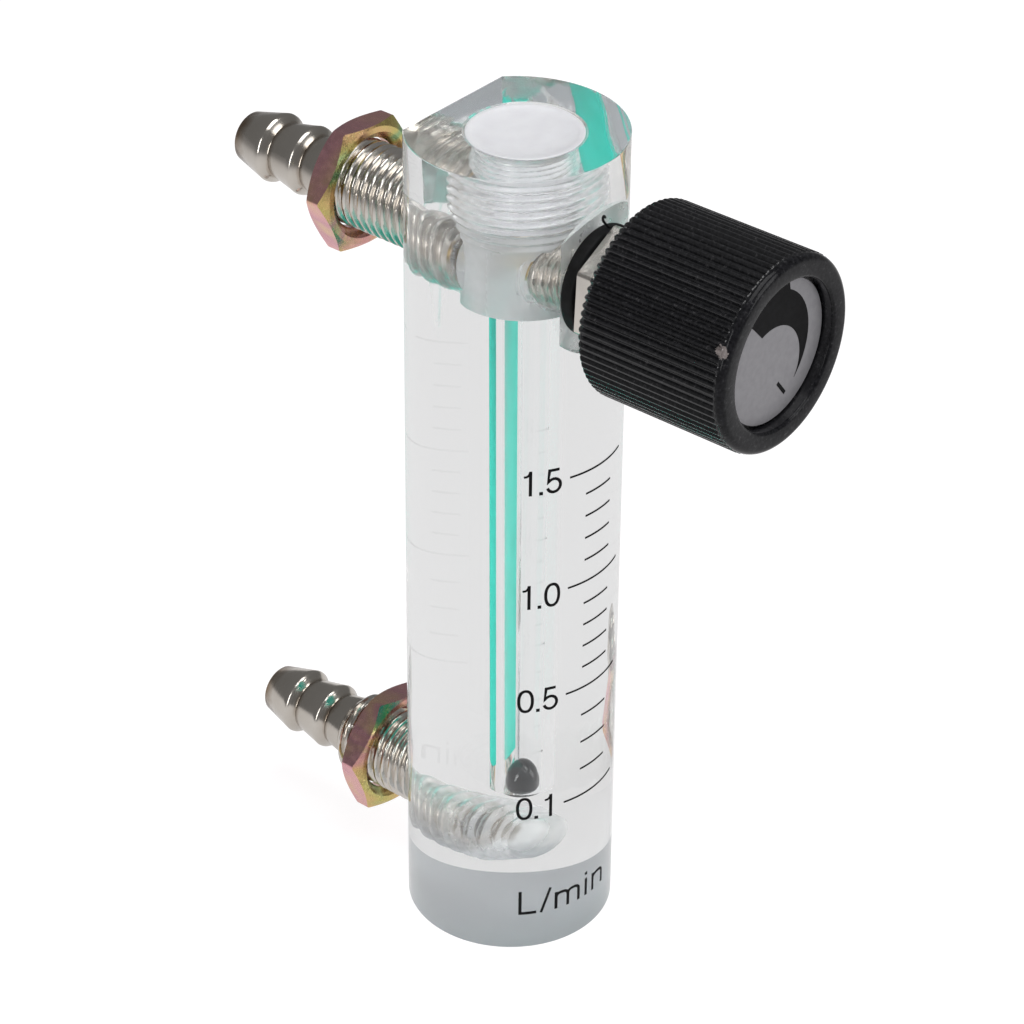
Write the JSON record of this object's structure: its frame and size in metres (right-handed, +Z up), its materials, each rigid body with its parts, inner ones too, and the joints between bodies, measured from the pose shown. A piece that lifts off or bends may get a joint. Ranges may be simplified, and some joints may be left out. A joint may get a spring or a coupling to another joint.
{
  "type": "oxygen flowmeter",
  "caption": "Clear acrylic gas flowmeter with a ball float in a tapered tube, a needle valve with a ribbed knob, and barbed hose connectors with panel nuts.",
  "frame": {"origin": "centre of the base face, on the axis of the round body", "axes": "+Z up along the body, +Y out of the flat back where both connectors leave, -Y out of the front through the control knob, +X to the right seen from the front"},
  "size_m": [0.024, 0.0739, 0.1008],
  "materials": {
    "clear_acrylic": "polished, clear",
    "white_nylon": "satin, slightly translucent",
    "ball_black": "smooth",
    "teal_film": "printed film",
    "nickel_plate": "bright nickel plate on turned brass",
    "yellow_zinc": "yellow zinc, pink and green tints",
    "brass": "turned",
    "black_rubber": "matt",
    "knob_black": "satin, moulded",
    "zinc_steel": "bright zinc",
    "disc_grey": "satin metallic print"
  },
  "bodies": {
    "meter": {"body": "clear_acrylic", "top_plug": "white_nylon", "float_stop": "white_nylon", "back_strip": "teal_film", "outlet_connector": "nickel_plate", "inlet_connector": "nickel_plate", "valve_bonnet": "nickel_plate", "valve_washer": "black_rubber"},
    "float": {"float_ball": "ball_black"},
    "outlet_panel_nut": {"outlet_nut": "yellow_zinc"},
    "inlet_panel_nut": {"inlet_nut": "yellow_zinc"},
    "seal": {"spindle_seal": "black_rubber"},
    "control": {"valve_spindle": "brass", "knob": "knob_black", "knob_bush": "brass", "knob_screw": "zinc_steel", "knob_disc": "disc_grey"}
  },
  "joints": [
    {"name": "float_rise", "type": "slide", "parent": "meter", "child": "float", "axis": [0, 0, 1], "range_m": [0, 0.0595]},
    {"name": "outlet_nut_run", "type": "slide", "parent": "meter", "child": "outlet_panel_nut", "axis": [0, 1, 0], "range_m": [-0.0108, 0.0008]},
    {"name": "inlet_nut_run", "type": "slide", "parent": "meter", "child": "inlet_panel_nut", "axis": [0, 1, 0], "range_m": [-0.0074, 0.0024]},
    {"name": "valve_travel", "type": "slide", "parent": "meter", "child": "seal", "axis": [0, -1, 0], "range_m": [-0.001, 0.001]},
    {"name": "valve_turn", "type": "hinge", "parent": "seal", "child": "control", "pos_m": [0, 0, 0.0868], "axis": [0, -1, 0], "range_deg": [-720, 720]}
  ],
  "couplings": [
    {"joint": "valve_travel", "follows": "valve_turn", "m_per_rad": 0.000079577}
  ]
}
